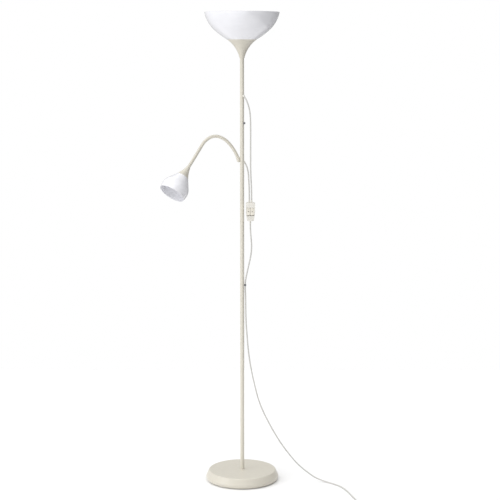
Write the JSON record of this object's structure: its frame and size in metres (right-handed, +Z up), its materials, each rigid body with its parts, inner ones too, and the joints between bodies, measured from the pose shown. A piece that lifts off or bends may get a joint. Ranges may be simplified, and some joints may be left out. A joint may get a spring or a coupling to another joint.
{
  "type": "torchiere floor lamp",
  "caption": "Free-standing uplighter floor lamp with an upturned bowl shade, a weighted round base, a reading light on a bendable arm and a cord switch.",
  "frame": {"origin": "where the pole's axis meets the floor, in the middle of the base pad's underside", "axes": "+Z up along the pole, -Y towards the front, where the rocker switch faces, -X towards the reading arm"},
  "size_m": [0.8597, 0.5149, 1.7605],
  "materials": {
    "felt": "matte",
    "concrete": "matte",
    "cream_paint": "satin",
    "steel": "satin",
    "holder_plastic": "matte",
    "brass": "polished",
    "shade_plastic": "gloss",
    "cap_aluminium": "satin",
    "frosted_glass": "matte",
    "white_plastic": "satin",
    "rocker_plastic": "gloss",
    "cord_plastic": "satin",
    "grey_plastic": "matte",
    "plated_pins": "polished"
  },
  "bodies": {
    "stand": {"base_pad": "felt", "base_ballast": "concrete", "base_cover": "cream_paint", "base_washer": "steel", "base_nut": "steel", "base_stud": "steel", "pole_foot_plug": "steel", "pole_lower": "cream_paint", "coupler_lower": "steel", "pole_middle": "cream_paint", "coupler_upper": "steel", "pole_upper": "cream_paint", "pole_top_plug": "steel", "uplight_nipple": "steel", "uplight_cone": "cream_paint", "uplight_lampholder": "holder_plastic", "uplight_contacts": "brass", "uplight_shade_ring": "holder_plastic", "uplight_bowl": "shade_plastic", "uplight_bulb_cap": "cap_aluminium", "uplight_bulb_glass": "frosted_glass", "uplight_lead": "cord_plastic", "uplight_cord_bush": "white_plastic", "reading_cord_bush": "white_plastic", "reading_lead": "cord_plastic", "cord_clip_upper": "grey_plastic", "cord_clip_lower": "grey_plastic", "arm_socket": "cream_paint", "arm_link_1": "cream_paint", "switch_front": "white_plastic", "switch_back": "white_plastic", "rocker_axle": "steel", "switch_terminals": "brass", "switch_screws": "steel", "cord_sleeves": "white_plastic", "uplight_cord": "cord_plastic", "reading_cord": "cord_plastic", "mains_cord": "cord_plastic", "mains_coil": "cord_plastic", "mains_tail": "cord_plastic", "coil_tie": "grey_plastic", "plug_body": "white_plastic", "plug_pins": "plated_pins"},
    "arm_2": {"arm_link_2": "cream_paint"},
    "arm_3": {"arm_link_3": "cream_paint"},
    "arm_4": {"arm_link_4": "cream_paint"},
    "arm_5": {"arm_link_5": "cream_paint"},
    "arm_6": {"arm_link_6": "cream_paint"},
    "arm_7": {"arm_link_7": "cream_paint"},
    "head": {"arm_link_8": "cream_paint", "reading_nipple": "steel", "reading_cone": "cream_paint", "reading_lampholder": "holder_plastic", "reading_contacts": "brass", "reading_shade_ring": "holder_plastic", "reading_shade": "shade_plastic", "reading_bulb_cap": "cap_aluminium", "reading_bulb_glass": "frosted_glass"},
    "uplight_rocker": {"uplight_rocker": "rocker_plastic"},
    "reading_rocker": {"reading_rocker": "rocker_plastic"}
  },
  "joints": [
    {"name": "arm_joint_1_sideways", "type": "hinge", "parent": "stand", "child": "arm_2", "pos_m": [-0.02927, 0, 1.25676], "axis": [-0.8526, 0, -0.5225], "range_deg": [-20, 20]},
    {"name": "arm_joint_2_curl", "type": "hinge", "parent": "arm_2", "child": "arm_3", "pos_m": [-0.05205, 0, 1.28645], "axis": [0, -1, 0], "range_deg": [-30, 10]},
    {"name": "arm_joint_3_sideways", "type": "hinge", "parent": "arm_3", "child": "arm_4", "pos_m": [-0.08337, 0, 1.3064], "axis": [-0.3173, 0, -0.9483], "range_deg": [-20, 20]},
    {"name": "arm_joint_4_curl", "type": "hinge", "parent": "arm_4", "child": "arm_5", "pos_m": [-0.11966, -0.00108, 1.30322], "axis": [0.0591, -0.9982, 0.0052], "range_deg": [-30, 10]},
    {"name": "arm_joint_5_sideways", "type": "hinge", "parent": "arm_5", "child": "arm_6", "pos_m": [-0.14647, -0.00552, 1.27801], "axis": [0.8385, 0.0836, -0.5385], "range_deg": [-20, 20]},
    {"name": "arm_joint_6_curl", "type": "hinge", "parent": "arm_6", "child": "arm_7", "pos_m": [-0.16538, -0.01501, 1.2471], "axis": [0.2444, -0.9409, 0.2344], "range_deg": [-30, 10]},
    {"name": "arm_joint_7_sideways", "type": "hinge", "parent": "arm_7", "child": "head", "pos_m": [-0.18354, -0.02964, 1.21776], "axis": [0.8216, 0.07, -0.5658], "range_deg": [-20, 20]},
    {"name": "uplight_rocker_tip", "type": "hinge", "parent": "stand", "child": "uplight_rocker", "pos_m": [0.03795, -0.0224, 1.031], "axis": [1, 0, 0], "range_deg": [0, 14]},
    {"name": "reading_rocker_tip", "type": "hinge", "parent": "stand", "child": "reading_rocker", "pos_m": [0.02405, -0.0224, 1.031], "axis": [1, 0, 0], "range_deg": [0, 14]}
  ]
}
